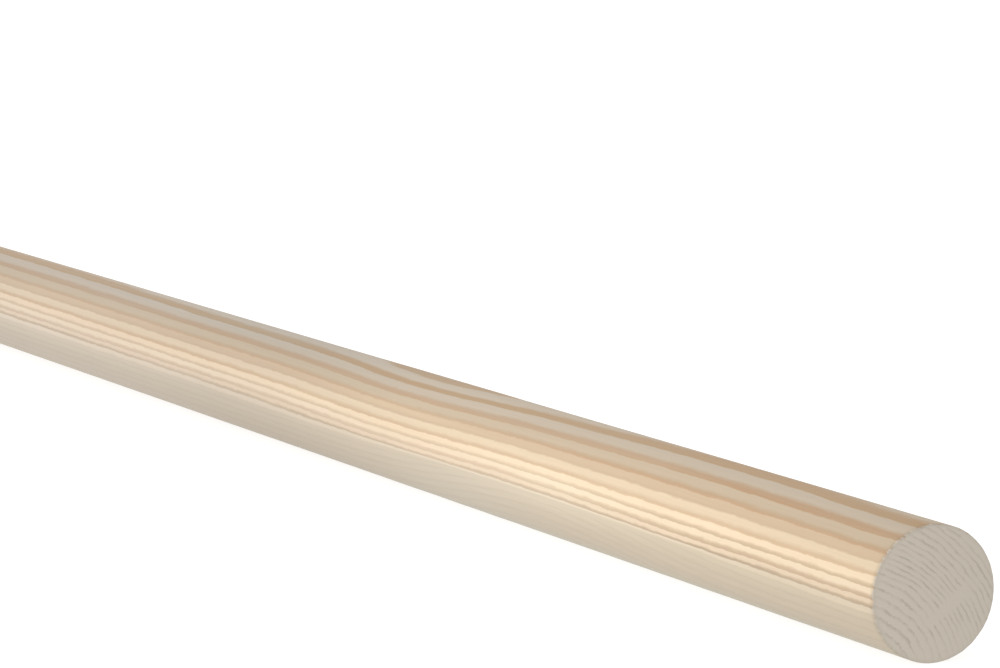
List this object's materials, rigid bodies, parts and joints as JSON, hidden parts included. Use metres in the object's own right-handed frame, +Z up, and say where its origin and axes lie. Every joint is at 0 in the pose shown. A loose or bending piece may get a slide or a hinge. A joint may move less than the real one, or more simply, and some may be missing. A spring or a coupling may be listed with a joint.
{
  "type": "wooden dowel rod",
  "caption": "Straight round softwood rod with square-sawn ends, for use as a rail, axle, handle, peg stock or stiffener.",
  "frame": {"origin": "on the rod's axis, half way along its length", "axes": "+X along the rod's axis towards the near end, +Z up as the rod lies"},
  "size_m": [1, 0.028, 0.028],
  "materials": {
    "pine": "planed and sanded, bare"
  },
  "bodies": {
    "root": {"dowel_rod": "pine"}
  },
  "joints": []
}
